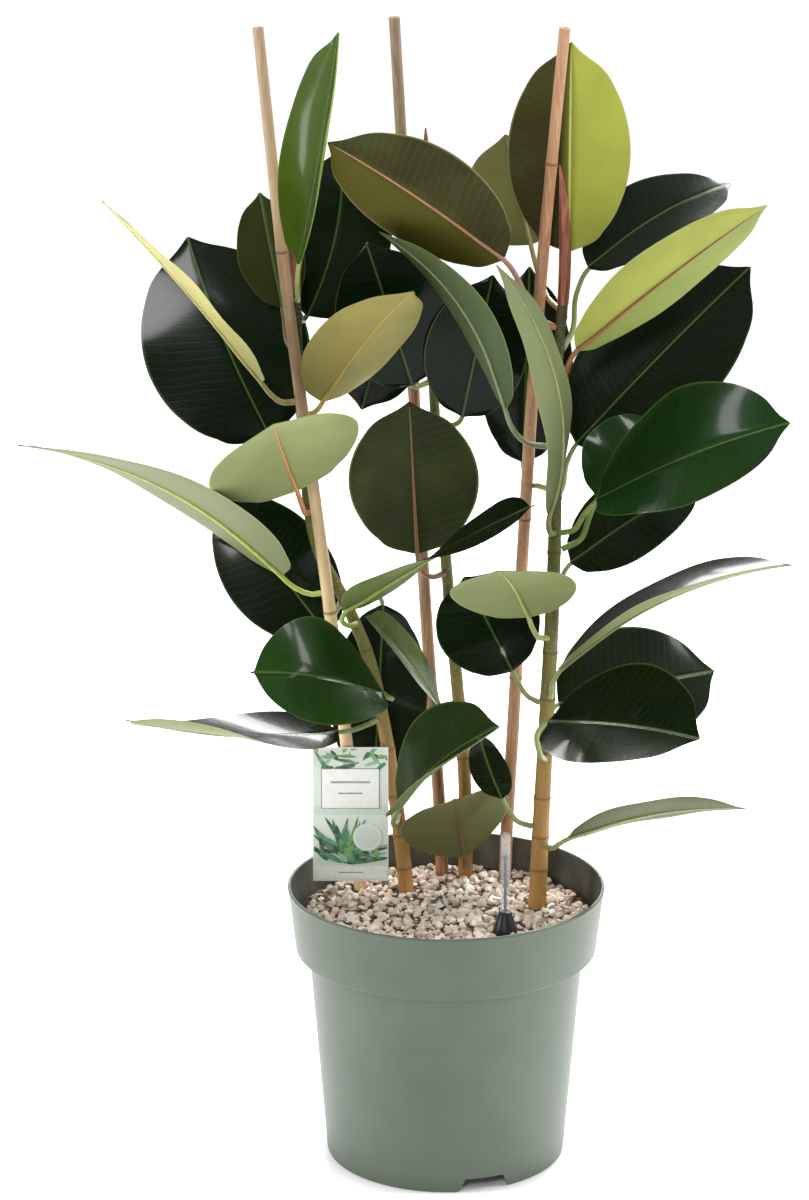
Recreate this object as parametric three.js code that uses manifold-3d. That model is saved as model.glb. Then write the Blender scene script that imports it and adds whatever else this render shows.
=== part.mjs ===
// A rubber plant (Ficus elastica) of three rooted stems, staked with bamboo canes in a plastic
// nursery pot that is topped with pumice. Millimetres, +Z up. The origin is where the pot's
// axis meets the surface it stands on, and -Y is the front.
import * as THREE from "three";
import { mergeVertices } from "three/addons/utils/BufferGeometryUtils.js";
import Module from "manifold-3d";

const wasm = await Module();
wasm.setup();

// ---------------------------------------------------------------- driving dimensions
// Pot
const RIM_DIAMETER = 240; // outside, at the top of the collar
const POT_HEIGHT = 214;
const COLLAR_HEIGHT = 51; // the wide band under the rim
const COLLAR_FOOT_DIAMETER = 228; // outside, at the collar's lower edge
const BODY_TOP_DIAMETER = 209; // outside, just under the collar
const FOOT_DIAMETER = 181.5;
const POT_WALL = 2.4;
const FOOT_ROUNDING = 3;
const SKIRT_WALL = 3.6; // the wall below the floor, which the pot stands on
const FLOOR_LIFT = 12; // the drained part of the floor, above the surface
const CENTRE_DISC_DIAMETER = 96; // the part of the floor that stands on the surface
const NOTCHES = 3;
const NOTCH_HEIGHT = 11;
const NOTCH_TOP_WIDTH = 30;
const NOTCH_FOOT_WIDTH = 41;
const FIRST_NOTCH_ANGLE = -71.6; // degrees from +X, seen from above
const DRAIN_HOLES = 6;
const DRAIN_DIAMETER = 9;

// Filling
const PUMICE_BELOW_RIM = 27;
const PUMICE_DEPTH = 37;
const TOUCHING_GAP = 0.3; // between pieces that touch

// Canes and stems
const CANE_DIAMETER = 10.4;
const CANE_TIP_DIAMETER = 8.2;
const CANE_ABOVE_FLOOR = 24; // a cane's lower end, above the pot's floor
const CANE_FROM_WALL = 10; // a cane's axis to the body's bore, all the way down
const STEM_DIAMETER = 14.4;
const STEM_TIP_DIAMETER = 7.5;
const STEM_BURIED = 55; // what the pumice and the growing medium hide
const PETIOLE_DIAMETER = 4.4;
const BLADE_THICKNESS = 1.5;
const MIDRIB_DEPTH = 2; // how far the midrib stands out under a blade, at its foot

// Tag and level indicator
const TAG_WIDTH = 58;
const TAG_HEIGHT = 108;
const TAG_TOP = 121; // above the pumice
const TAG_ASIDE = 2; // the tag's middle from the cane it hangs on
const TAG_THICKNESS = 0.8;
const TAG_CLEAR_OF_CANE = 2.2;
const TAG_HOLE_DIAMETER = 4;
const TAG_HOLE_DEPTH = 8; // below the tag's top edge
const TIE_CLEAR_OF_CANE = 5.3; // the ring that the wire makes around the cane
const TIE_WIRE = 1.2;
const LEVEL_TUBE_DIAMETER = 8;
const LEVEL_TUBE_WALL = 1;
const LEVEL_TUBE_HEIGHT = 62;
const LEVEL_COLLAR_DIAMETER = 18;
const LEVEL_COLLAR_HEIGHT = 17;
const LEVEL_SHAFT_DIAMETER = 11;
const LEVEL_ABOVE_FLOOR = 6;
const LEVEL_PLACE = [44, -34];

// ---------------------------------------------------------------- derived dimensions
const POT_FLOOR = FLOOR_LIFT + POT_WALL;
const COLLAR_FOOT = POT_HEIGHT - COLLAR_HEIGHT;
const SHELF = COLLAR_FOOT + POT_WALL; // inside, where the collar widens
const PUMICE_TOP = POT_HEIGHT - PUMICE_BELOW_RIM;
const PUMICE_FOOT = PUMICE_TOP - PUMICE_DEPTH;
const TIE_RADIUS = CANE_DIAMETER / 2 + TIE_CLEAR_OF_CANE;

const mix = (from, to, share) => from + (to - from) * share;
const bodyRadius = (z) => mix(FOOT_DIAMETER, BODY_TOP_DIAMETER, z / COLLAR_FOOT) / 2;
const bodyBore = (z) => bodyRadius(z) - POT_WALL;
const collarBore = (z) =>
  mix(COLLAR_FOOT_DIAMETER, RIM_DIAMETER, (z - COLLAR_FOOT) / COLLAR_HEIGHT) / 2 - POT_WALL;

// ---------------------------------------------------------------- finishes
const finish = (color, roughness, metalness = 0) =>
  new THREE.MeshStandardMaterial({ color, roughness, metalness });
const SAGE_PLASTIC = finish(0x768073, 0.5);
const POTTING_MIX = finish(0x3a2a1e, 0.95);
const PUMICE = finish(0xc8b4a5, 0.9);
const BAMBOO = finish(0xcf9c6c, 0.55);
const YOUNG_BARK = finish(0x96803c, 0.6);
const BUD = finish(0x8a4a32, 0.45);
const LEAF = finish(0x1c3a20, 0.3);
const CARD = finish(0xe9efe8, 0.4);
const WIRE = finish(0xf2f2f0, 0.4);
const CLEAR_PLASTIC = finish(0xdfe6ea, 0.1);
const BLACK_PLASTIC = finish(0x1d1f22, 0.4);
const FLOAT_PLASTIC = finish(0x31435a, 0.4);

const plant = new THREE.Group();

function add(name, geometry, material) {
  const mesh = new THREE.Mesh(geometry, material);
  mesh.name = name;
  plant.add(mesh);
  return mesh;
}

// ---------------------------------------------------------------- joining and cutting
function toSolid(geometry) {
  const bare = geometry.clone();
  bare.deleteAttribute("normal");
  bare.deleteAttribute("uv");
  const merged = mergeVertices(bare, 1e-4);
  return new wasm.Manifold(
    new wasm.Mesh({
      numProp: 3,
      vertProperties: new Float32Array(merged.attributes.position.array),
      triVerts: new Uint32Array(merged.index.array),
    }),
  );
}

function cut(geometry, cutters) {
  let solid = toSolid(geometry);
  for (const cutter of cutters) solid = solid.subtract(toSolid(cutter));
  const mesh = solid.getMesh();
  const result = new THREE.BufferGeometry();
  result.setAttribute("position", new THREE.BufferAttribute(mesh.vertProperties, 3));
  result.setIndex(new THREE.BufferAttribute(mesh.triVerts, 1));
  return result;
}

// A lathe turns about Y, so its result is stood up on Z.
function turned(profile, segments) {
  const points = profile.map(([radius, height]) => new THREE.Vector2(radius, height));
  return new THREE.LatheGeometry(points, segments).rotateX(Math.PI / 2);
}

// ---------------------------------------------------------------- lofts
// A loft is a closed cylinder whose rows of points are carried along a route. Each section has
// a centre, a side and an up direction square to the route, and shape(x, z), which turns a point
// of the unit circle into its distances along side and up.
function loft(sections, sides) {
  const geometry = new THREE.CylinderGeometry(1, 1, 1, sides, sections.length - 1);
  const position = geometry.attributes.position;
  const point = new THREE.Vector3();
  for (let i = 0; i < position.count; i += 1) {
    const row = Math.round((position.getY(i) + 0.5) * (sections.length - 1));
    const { centre, side, up, shape } = sections[row];
    const [across, above] = shape(position.getX(i), position.getZ(i));
    point.copy(centre).addScaledVector(side, across).addScaledVector(up, above);
    position.setXYZ(i, point.x, point.y, point.z);
  }
  return geometry;
}

function squareTo(direction, vector) {
  return vector.clone().addScaledVector(direction, -vector.dot(direction)).normalize();
}

const round = (radius) => (x, z) => [x * radius, z * radius];

// A round limb along a curve; radiusAt(share) gives its radius from foot to tip.
function limb(curve, radiusAt, steps, sides) {
  const sections = [];
  for (let i = 0; i <= steps; i += 1) {
    const along = curve.getTangentAt(i / steps);
    const up = squareTo(along, new THREE.Vector3(0, -1, 0));
    sections.push({
      centre: curve.getPointAt(i / steps),
      side: along.clone().cross(up),
      up,
      shape: round(radiusAt(i / steps)),
    });
  }
  return loft(sections, sides);
}

const curveThrough = (points) =>
  new THREE.CatmullRomCurve3(points.map((p) => new THREE.Vector3(...p)), false, "centripetal");

// The point of a curve at a height, and the share of the curve's length below it.
function atHeight(curve, z) {
  let low = 0;
  let high = 1;
  for (let i = 0; i < 40; i += 1) {
    const middle = (low + high) / 2;
    if (curve.getPointAt(middle).z < z) low = middle;
    else high = middle;
  }
  return { point: curve.getPointAt(low), share: low };
}

// ---------------------------------------------------------------- pot
function potProfile() {
  const foot = FOOT_DIAMETER / 2;
  const disc = CENTRE_DISC_DIAMETER / 2;
  const rim = RIM_DIAMETER / 2;
  const rounded = [0, 30, 60, 90].map((degrees) => {
    const turn = THREE.MathUtils.degToRad(degrees);
    return [
      bodyRadius(FOOT_ROUNDING) - FOOT_ROUNDING * (1 - Math.sin(turn)),
      FOOT_ROUNDING * (1 - Math.cos(turn)),
    ];
  });
  return [
    [0, 0],
    [disc, 0],
    [disc + 2, FLOOR_LIFT],
    [foot - SKIRT_WALL, FLOOR_LIFT],
    [foot - SKIRT_WALL, 0],
    ...rounded,
    [BODY_TOP_DIAMETER / 2, COLLAR_FOOT],
    [COLLAR_FOOT_DIAMETER / 2, COLLAR_FOOT],
    [rim, POT_HEIGHT - 1],
    [rim - 0.7, POT_HEIGHT],
    [rim - POT_WALL, POT_HEIGHT],
    [collarBore(SHELF), SHELF],
    [bodyBore(SHELF), SHELF],
    [bodyBore(POT_FLOOR), POT_FLOOR],
    [disc - POT_WALL + 2, POT_FLOOR],
    [disc - POT_WALL, POT_WALL],
    [0, POT_WALL],
  ];
}

function notchCutter(degrees) {
  const outline = new THREE.Shape([
    new THREE.Vector2(-NOTCH_FOOT_WIDTH / 2, -1),
    new THREE.Vector2(NOTCH_FOOT_WIDTH / 2, -1),
    new THREE.Vector2(NOTCH_TOP_WIDTH / 2, NOTCH_HEIGHT),
    new THREE.Vector2(-NOTCH_TOP_WIDTH / 2, NOTCH_HEIGHT),
  ]);
  const reach = 30; // across the skirt, with some to spare on both sides
  return new THREE.ExtrudeGeometry(outline, { depth: reach, bevelEnabled: false })
    .rotateX(Math.PI / 2)
    .translate(0, reach / 2 + FOOT_DIAMETER / 2, 0)
    .rotateZ(THREE.MathUtils.degToRad(degrees - 90));
}

function drainCutter(degrees) {
  const ring = (CENTRE_DISC_DIAMETER + FOOT_DIAMETER) / 4;
  return new THREE.CylinderGeometry(DRAIN_DIAMETER / 2, DRAIN_DIAMETER / 2, POT_WALL + 4, 12)
    .rotateX(Math.PI / 2)
    .translate(ring, 0, FLOOR_LIFT + POT_WALL / 2)
    .rotateZ(THREE.MathUtils.degToRad(degrees));
}

const potCutters = [];
for (let i = 0; i < NOTCHES; i += 1) {
  potCutters.push(notchCutter(FIRST_NOTCH_ANGLE + (i * 360) / NOTCHES));
}
for (let i = 0; i < DRAIN_HOLES; i += 1) {
  potCutters.push(drainCutter(FIRST_NOTCH_ANGLE + 30 + (i * 360) / DRAIN_HOLES));
}
add("pot", cut(turned(potProfile(), 56), potCutters), SAGE_PLASTIC);

// ---------------------------------------------------------------- canes
// A cane is pushed in near the wall and leans to its top. Its foot is an angle in degrees from
// +X, and the rest of its route is x, y and the height above the pumice.
function byTheWall(degrees, z) {
  const turn = THREE.MathUtils.degToRad(degrees);
  const radius = bodyBore(Math.min(z, SHELF)) - CANE_FROM_WALL;
  return [radius * Math.cos(turn), radius * Math.sin(turn), z];
}

const CANES = {
  left: { foot: 135, rest: [[-76, 50, 125], [-98, 38, 315], [-117, 30, 468], [-137, 26, 672]] },
  centre: { foot: 91, rest: [[-10, 92, 140], [-17, 88, 245], [-34, 76, 585], [-39, 72, 673]] },
  right: { foot: 60, rest: [[53, 80, 145], [58, 62, 275], [68, 20, 485], [83, 2, 675]] },
};

function caneRoute({ foot, rest }) {
  const inPot = [POT_FLOOR + CANE_ABOVE_FLOOR, SHELF, PUMICE_TOP].map((z) => byTheWall(foot, z));
  return curveThrough([...inPot, ...rest.map(([x, y, h]) => [x, y, h + PUMICE_TOP])]);
}

const caneRadius = (extra) => (share) => mix(CANE_DIAMETER, CANE_TIP_DIAMETER, share) / 2 + extra;
const buried = []; // what the pumice and the growing medium leave room for

for (const [side, cane] of Object.entries(CANES)) {
  const route = caneRoute(cane);
  cane.route = route;
  add(`cane_${side}`, limb(route, caneRadius(0), 9, 8), BAMBOO);
  buried.push(limb(route, caneRadius(TOUCHING_GAP * 2), 9, 8));
}

// ---------------------------------------------------------------- stems
// Each stem's route, as x, y and the height above the pumice, from its root collar to its bud.
const STEMS = {
  left: { route: [[-30, 54, 0], [-56, 52, 180], [-72, 52, 225], [-98, 50, 280], [-109, 46, 390],
    [-111, 40, 474]], bud: [-124, 36, 560], girth: 0.86 },
  centre: { route: [[16, 88, 0], [15, 86, 84], [3, 80, 223], [-9, 74, 381], [-14, 70, 530]],
    bud: [-16, 70, 592], girth: 0.8 },
  right: { route: [[70, 21, 0], [76, 18, 164], [79, 15, 243], [80, 12, 321], [79, 10, 398],
    [84, 10, 472]], bud: [80, -8, 578], girth: 1 },
};

function stemRadius(stem, extra = 0) {
  return (share) => (mix(STEM_DIAMETER, STEM_TIP_DIAMETER, share) * stem.girth) / 2 + extra;
}

for (const [side, stem] of Object.entries(STEMS)) {
  const [x, y] = stem.route[0];
  const points = [[x, y, -STEM_BURIED], ...stem.route];
  stem.curve = curveThrough(points.map(([px, py, h]) => [px, py, h + PUMICE_TOP]));
  add(`stem_${side}`, limb(stem.curve, stemRadius(stem), 11, 8), YOUNG_BARK);
  buried.push(limb(stem.curve, stemRadius(stem, TOUCHING_GAP * 2), 11, 8));

  // The pointed sheath that wraps the next leaf stands on the stem's end.
  const along = stem.curve.getTangentAt(1);
  const end = stem.curve.getPointAt(1).addScaledVector(along, TOUCHING_GAP);
  const [bx, by, bh] = stem.bud;
  const tip = new THREE.Vector3(bx, by, bh + PUMICE_TOP);
  const bend = end.clone().addScaledVector(along, end.distanceTo(tip) / 2);
  const sheath = new THREE.QuadraticBezierCurve3(end, bend, tip);
  const footRadius = stemRadius(stem)(1);
  const swell = (share) => footRadius * (1 + 0.5 * share) * (1 - share ** 2.4) + 0.5;
  add(`bud_${side}`, limb(sheath, swell, 6, 8), BUD);
}

// ---------------------------------------------------------------- leaves
// stem, height of the leaf's joint above the pumice, foot and tip of the blade as x, y and height
// above the pumice, blade width, what the upper side looks towards, and then how far the blade
// arches up, how far it curves sideways, the rise of its two halves and its twist in degrees.
const LEAVES = [
  ["left", 470, [-108, 8, 503], [-78, -20, 675], 62, [-0.9, -0.5, 0.1], -2, 0, 26, 0],
  ["left", 452, [-104, 66, 452], [-79, 100, 572], 84, [0.2, -0.9, 0.4], 8, 8, 6, 0],
  ["left", 428, [-122, 55, 461], [-138, 57, 546], 52, [-0.3, -0.9, 0.3], 1, 0, 4, 0],
  ["left", 334, [-132, 66, 359], [-194, 102, 504], 124, [-0.1, -0.95, 0.35], 4, -4, 4, 0],
  ["left", 392, [-138, 16, 414], [-245, -60, 561], 86, [0.75, 0.26, 0.6], 3, 0, 6, 0],
  ["left", 382, [-92, 32, 394], [-25, -20, 488], 82, [-0.5, 0.8, 0.3], 6, 0, 8, 0],
  ["left", 306, [-111, 8, 332], [-124, -116, 413], 117, [-0.35, 0.7, 0.6], 8, 0, -4, 0],
  ["left", 246, [-125, 44, 257], [-306, -90, 391], 108, [0.45, 0.5, 0.75], 20, 0, 4, 0],
  ["left", 234, [-90, 66, 204], [-169, 94, 306], 84, [-0.3, -0.85, 0.5], 6, 0, 8, 0],
  ["left", 168, [-48, -10, 180], [-144, -64, 214], 92, [0.1, -0.35, 0.9], 6, 0, 12, -45],
  ["left", 142, [-82, 22, 140], [-236, -60, 176], 78, [0.1, -0.35, 0.95], -8, 0, 8, 50],
  ["left", 218, [-74, 8, 240], [63, -48, 336], 84, [-0.3, 0.62, 0.7], 4, 0, 6, 58],
  ["left", 236, [-48, 64, 228], [-56, 88, 72], 74, [0.1, -1, 0], 6, 0, 8, 0],
  ["left", 66, [-36, -16, 92], [38, -70, 174], 84, [-0.4, -0.35, 0.85], 8, 0, 26, 0],
  ["centre", 400, [-26, 62, 400], [-60, 60, 508], 84, [0, -0.9, 0.4], 6, 0, 6, 0],
  ["centre", 366, [12, 62, 376], [34, 58, 484], 76, [0, -0.9, 0.4], 6, 0, 6, 0],
  ["centre", 250, [-22, 44, 274], [-28, 48, 390], 98, [0, 0.95, 0.3], 4, 0, 6, 0],
  ["centre", 126, [-4, 30, 154], [-60, -18, 243], 66, [0.75, -0.1, 0.55], 4, 0, 10, 0],
  ["centre", 12, [15, 62, 26], [6, 6, 92], 88, [-0.3, 0.6, 0.7], 0, 0, 17, 0],
  ["centre", 462, [-34, 97, 480], [-64, 99, 372], 74, [0, -1, 0.1], 4, 0, 6, 0],
  ["right", 455, [40, -2, 508], [-86, -30, 598], 86, [0.1, 0.9, 0.4], 6, 0, 8, 0],
  ["right", 366, [42, -2, 397], [-50, -6, 529], 74, [0.8, 0.45, 0.5], 18, 0, 6, 0],
  ["right", 300, [75, -20, 322], [34, -62, 516], 58, [-0.9, 0.3, 0.2], -26, 0, 6, 0],
  ["right", 164, [50, 30, 186], [14, 78, 246], 80, [-0.2, -0.8, 0.6], 6, 0, 10, 0],
  ["right", 218, [60, -16, 242], [34, -112, 304], 92, [-0.05, 0.6, 0.8], 8, 0, -4, 0],
  ["right", 66, [42, 12, 92], [24, -8, 150], 30, [-0.3, -0.7, 0.6], 4, 0, 8, 0],
  ["right", 454, [88, 27, 508], [89, 34, 660], 90, [0, 1, 0.1], 2, 0, 8, 0],
  ["right", 467, [62, 68, 505], [43, 86, 584], 80, [-0.2, 0.9, 0.4], 4, 0, 6, 0],
  ["right", 438, [104, 34, 494], [210, 80, 548], 74, [0.1, -0.35, 0.95], 10, 0, 10, 0],
  ["right", 420, [94, -12, 443], [228, -26, 552], 70, [-0.3, 0.75, 0.6], 3, 0, 8, 0],
  ["right", 325, [97, 48, 358], [226, 78, 486], 104, [-0.2, -0.9, 0.45], 6, 0, 6, 0],
  ["right", 300, [110, -20, 332], [243, -84, 406], 108, [-0.2, -0.4, 0.9], 6, 0, 14, 30],
  ["right", 246, [94, 46, 266], [191, 60, 327], 78, [0, -0.5, 0.9], 4, 0, 6, 0],
  ["right", 172, [84, -14, 200], [253, -38, 288], 72, [-0.2, 0.08, 1], 16, 0, 16, 0],
  ["right", 128, [86, 54, 152], [208, 108, 162], 100, [0, -0.75, 0.65], 4, 0, 4, 0],
  ["right", 122, [76, -34, 166], [182, -104, 176], 108, [-0.15, -0.45, 0.9], 6, 0, 12, 0],
  ["right", 52, [92, -12, 67], [223, -24, 95], 68, [-0.1, 0.55, 0.88], 8, 0, 6, 0],
  ["right", 286, [112, 12, 326], [156, 18, 384], 66, [0, -0.7, 0.6], 4, 0, 8, 0],
  ["right", 330, [58, 80, 336], [62, 89, 484], 70, [0, -1, 0.2], 4, 0, 4, 0],
];

const PETIOLE_ROWS = [0, 0.35, 0.7];
const BLADE_ROWS = [0, 0.03, 0.11, 0.26, 0.43, 0.6, 0.76, 0.88, 0.955, 1];
const TURN_PER_ROW = 2; // the most degrees that a twisted blade turns from row to row
const MUCRO_SHARE = 0.965; // where the blade ends and the thread-like tip starts

// Half the blade's width at a share of its length, as a share of its widest half.
function outline(share) {
  if (share >= MUCRO_SHARE) return 0;
  return Math.sin(Math.PI * (share / MUCRO_SHARE) ** 0.95) ** 0.52;
}

// A twisted blade has more rows, so that none turns far from the one before it.
function bladeRows(twist) {
  const rows = [BLADE_ROWS[0]];
  for (let i = 1; i < BLADE_ROWS.length; i += 1) {
    const from = BLADE_ROWS[i - 1];
    const to = BLADE_ROWS[i];
    const parts = Math.max(1, Math.ceil(((to - from) * Math.abs(twist)) / TURN_PER_ROW));
    for (let part = 1; part <= parts; part += 1) rows.push(mix(from, to, part / parts));
  }
  return rows;
}

function leaf([side, joint, foot, tip, width, looks, arch, sweep, rise, twist]) {
  const stem = STEMS[side];
  const { point, share } = atHeight(stem.curve, joint + PUMICE_TOP);
  const lifted = ([x, y, h]) => new THREE.Vector3(x, y, h + PUMICE_TOP);
  const bladeFoot = lifted(foot);
  const bladeTip = lifted(tip);
  const chord = bladeTip.clone().sub(bladeFoot);
  const forward = chord.clone().normalize();
  const upper = squareTo(forward, new THREE.Vector3(...looks));
  const across = forward.clone().cross(upper);

  const midrib = (t) =>
    bladeFoot.clone().addScaledVector(chord, t)
      .addScaledVector(upper, 4 * arch * t * (1 - t))
      .addScaledVector(across, 4 * sweep * t * (1 - t));
  const midribDirection = (t) =>
    chord.clone()
      .addScaledVector(upper, 4 * arch * (1 - 2 * t))
      .addScaledVector(across, 4 * sweep * (1 - 2 * t))
      .normalize();

  // The petiole leaves the stem square to it and bends into the midrib.
  const stemDirection = stem.curve.getTangentAt(share);
  const outward = squareTo(stemDirection, bladeFoot.clone().sub(point));
  const start = point.clone().addScaledVector(outward, stemRadius(stem)(share) + TOUCHING_GAP * 2);
  const reach = start.distanceTo(bladeFoot) * 0.4;
  const petiole = new THREE.CubicBezierCurve3(
    start,
    start.clone().addScaledVector(outward, reach),
    bladeFoot.clone().addScaledVector(midribDirection(0), -reach),
    bladeFoot,
  );

  const sections = [];
  const section = (centre, along, turn, shape) => {
    const up = squareTo(along, upper).applyAxisAngle(along, THREE.MathUtils.degToRad(turn));
    sections.push({ centre, side: along.clone().cross(up), up, shape });
  };
  // A petiole is a little flat on its upper side.
  const petioleRadius = PETIOLE_DIAMETER / 2;
  const petioleShape = (x, z) => [x * petioleRadius, z * petioleRadius * (z > 0 ? 0.75 : 1)];
  for (const t of PETIOLE_ROWS) {
    section(petiole.getPoint(t), petiole.getTangent(t), 0, petioleShape);
  }
  const slope = Math.tan(THREE.MathUtils.degToRad(rise));
  for (const t of bladeRows(twist)) {
    const half = Math.max((width / 2) * outline(t), mix(petioleRadius, 0.7, t));
    const thick = mix(petioleRadius, BLADE_THICKNESS / 2, Math.min(1, t / 0.08));
    const ridge = MIDRIB_DEPTH * (1 - t) * Math.min(1, t / 0.08);
    section(midrib(t), midribDirection(t), twist * t, (x, z) => {
      const s = Math.sign(x) * Math.abs(x) ** 1.6;
      const lift = slope * half * (0.5 * Math.abs(s) + 0.5 * s * s);
      const skin = z > 0 ? thick * z : thick * z - (Math.abs(x) < 0.1 && z < -0.5 ? ridge : 0);
      return [s * half, lift + skin];
    });
  }
  return loft(sections, 8);
}

const counted = {};
for (const row of LEAVES) {
  const side = row[0];
  counted[side] = (counted[side] ?? 0) + 1;
  add(`leaf_${side}_${String(counted[side]).padStart(2, "0")}`, leaf(row), LEAF);
}

// ---------------------------------------------------------------- level indicator
function levelPieces() {
  const tube = LEVEL_TUBE_DIAMETER / 2;
  const shaft = LEVEL_SHAFT_DIAMETER / 2;
  const depth = PUMICE_TOP - POT_FLOOR - LEVEL_ABOVE_FLOOR;
  const seat = LEVEL_COLLAR_HEIGHT + TOUCHING_GAP;
  const top = seat + LEVEL_TUBE_HEIGHT;
  const collar = [[0, -depth], [shaft, -depth], [shaft, TOUCHING_GAP],
    [LEVEL_COLLAR_DIAMETER / 2, TOUCHING_GAP], [LEVEL_COLLAR_DIAMETER / 2, 4],
    [tube + 0.5, LEVEL_COLLAR_HEIGHT], [0, LEVEL_COLLAR_HEIGHT]];
  const glass = [[tube - LEVEL_TUBE_WALL, seat], [tube, seat], [tube, top - 1.5], [tube - 1.5, top],
    [0, top], [0, top - LEVEL_TUBE_WALL], [tube - LEVEL_TUBE_WALL - 0.5, top - LEVEL_TUBE_WALL - 0.5],
    [tube - LEVEL_TUBE_WALL, seat]];
  const float = [[0, seat], [1.3, seat], [1.3, seat + 40], [2.1, seat + 41], [2.1, seat + 45],
    [0, seat + 45]];
  const place = (profile) => turned(profile, 16).translate(...LEVEL_PLACE, PUMICE_TOP);
  add("level_base", place(collar), BLACK_PLASTIC);
  add("level_tube", place(glass), CLEAR_PLASTIC);
  add("level_float", place(float), FLOAT_PLASTIC);
  const room = shaft + TOUCHING_GAP;
  buried.push(place([[0, -depth - TOUCHING_GAP], [room, -depth - TOUCHING_GAP], [room, 5], [0, 5]]));
}
levelPieces();

// ---------------------------------------------------------------- growing medium and pumice
function medium() {
  const low = POT_FLOOR + TOUCHING_GAP;
  const disc = CENTRE_DISC_DIAMETER / 2 - POT_WALL - TOUCHING_GAP;
  const high = PUMICE_FOOT - TOUCHING_GAP;
  const profile = [[0, POT_WALL + TOUCHING_GAP], [disc, POT_WALL + TOUCHING_GAP], [disc + 2, low],
    [bodyBore(low) - TOUCHING_GAP, low], [bodyBore(high) - TOUCHING_GAP, high], [0, high]];
  return cut(turned(profile, 40), buried);
}

function pumice() {
  const step = SHELF + TOUCHING_GAP;
  const profile = [[0, PUMICE_FOOT], [bodyBore(PUMICE_FOOT) - TOUCHING_GAP, PUMICE_FOOT],
    [bodyBore(SHELF) - TOUCHING_GAP, step], [collarBore(SHELF) - TOUCHING_GAP, step],
    [collarBore(PUMICE_TOP) - TOUCHING_GAP, PUMICE_TOP], [0, PUMICE_TOP]];
  return cut(turned(profile, 40), buried);
}
add("growing_medium", medium(), POTTING_MIX);
add("pumice_layer", pumice(), PUMICE);

// ---------------------------------------------------------------- tag
// The tag hangs in front of the left cane on a wire tie that passes through two holes.
const tieHeight = TAG_TOP - TAG_HOLE_DEPTH + PUMICE_TOP;
const tied = atHeight(CANES.left.route, tieHeight).point;
const tagFront = tied.y - CANE_DIAMETER / 2 - TAG_CLEAR_OF_CANE;
const holeHalf = Math.sqrt(TIE_RADIUS ** 2 - (tied.y - tagFront) ** 2);
const tagHole = (x) =>
  new THREE.CylinderGeometry(TAG_HOLE_DIAMETER / 2, TAG_HOLE_DIAMETER / 2, 6, 12)
    .translate(x, tagFront, tieHeight);
const card = new THREE.BoxGeometry(TAG_WIDTH, TAG_THICKNESS, TAG_HEIGHT)
  .translate(tied.x + TAG_ASIDE, tagFront, tieHeight + TAG_HOLE_DEPTH - TAG_HEIGHT / 2);
add("tag", cut(card, [tagHole(tied.x - holeHalf), tagHole(tied.x + holeHalf)]), CARD);
add("tag_tie", new THREE.TorusGeometry(TIE_RADIUS, TIE_WIRE / 2, 6, 20)
  .translate(tied.x, tied.y, tieHeight), WIRE);

export default plant;
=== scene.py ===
# %% [markdown]
# # A rubber plant in its nursery pot
# The plant is three rooted stems of Ficus elastica with broad, stiff, glossy leaves, each stem
# held by a bamboo cane, in a round plastic pot topped with pumice. The engineering model gives
# the place and the size of every leaf, and this lesson grows the fine surfaces on top of it.

# %% Load the frame
import math
import random

import bmesh
import bpy
import numpy as np
from mathutils import Matrix, Vector


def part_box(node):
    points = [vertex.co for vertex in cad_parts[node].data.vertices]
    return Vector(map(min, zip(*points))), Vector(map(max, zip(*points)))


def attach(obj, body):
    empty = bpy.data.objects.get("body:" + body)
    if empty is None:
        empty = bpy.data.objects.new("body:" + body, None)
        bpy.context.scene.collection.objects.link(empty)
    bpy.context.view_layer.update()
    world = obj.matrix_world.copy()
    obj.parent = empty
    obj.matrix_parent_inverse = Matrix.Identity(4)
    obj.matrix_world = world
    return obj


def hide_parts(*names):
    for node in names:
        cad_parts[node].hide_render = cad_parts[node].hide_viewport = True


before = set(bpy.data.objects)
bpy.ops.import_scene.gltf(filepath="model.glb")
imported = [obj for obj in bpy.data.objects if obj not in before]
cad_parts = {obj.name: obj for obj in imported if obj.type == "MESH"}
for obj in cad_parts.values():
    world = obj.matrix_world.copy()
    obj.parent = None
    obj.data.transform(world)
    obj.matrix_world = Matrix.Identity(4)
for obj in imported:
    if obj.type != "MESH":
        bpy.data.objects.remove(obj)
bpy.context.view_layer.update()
MM = 0.001
scene = bpy.context.scene

# %% [markdown]
# ## Camera
# A long lens a few metres away, a little above the leaves and tilted down, keeps the pot's
# sides almost upright and shows its rim as a flat ellipse. A wide lens from near by would
# splay the leaves. The tilt is found from the place the camera looks at, so it is stated as an
# angle below the horizon.

# %% Camera
CAMERA_PLACE = (-0.0315, -2.9, 1.28)
TILT_DOWN = math.radians(16.2)
LENS = 122.04

camera_data = bpy.data.cameras.new("camera")
camera_data.lens = LENS
camera_data.clip_end = 50
camera = bpy.data.objects.new("camera", camera_data)
camera.location = CAMERA_PLACE
camera.rotation_euler = (math.pi / 2 - TILT_DOWN, 0, 0)
scene.collection.objects.link(camera)
scene.camera = camera


# %% [markdown]
# ## Shader sums
# A finish is a handful of nodes and a lot of small sums. Wrapping a socket in a class with
# Python's own operators lets a sum be written as a sum. Every other node is added by one
# method, which sets the node's settings first and then its sockets.

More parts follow.
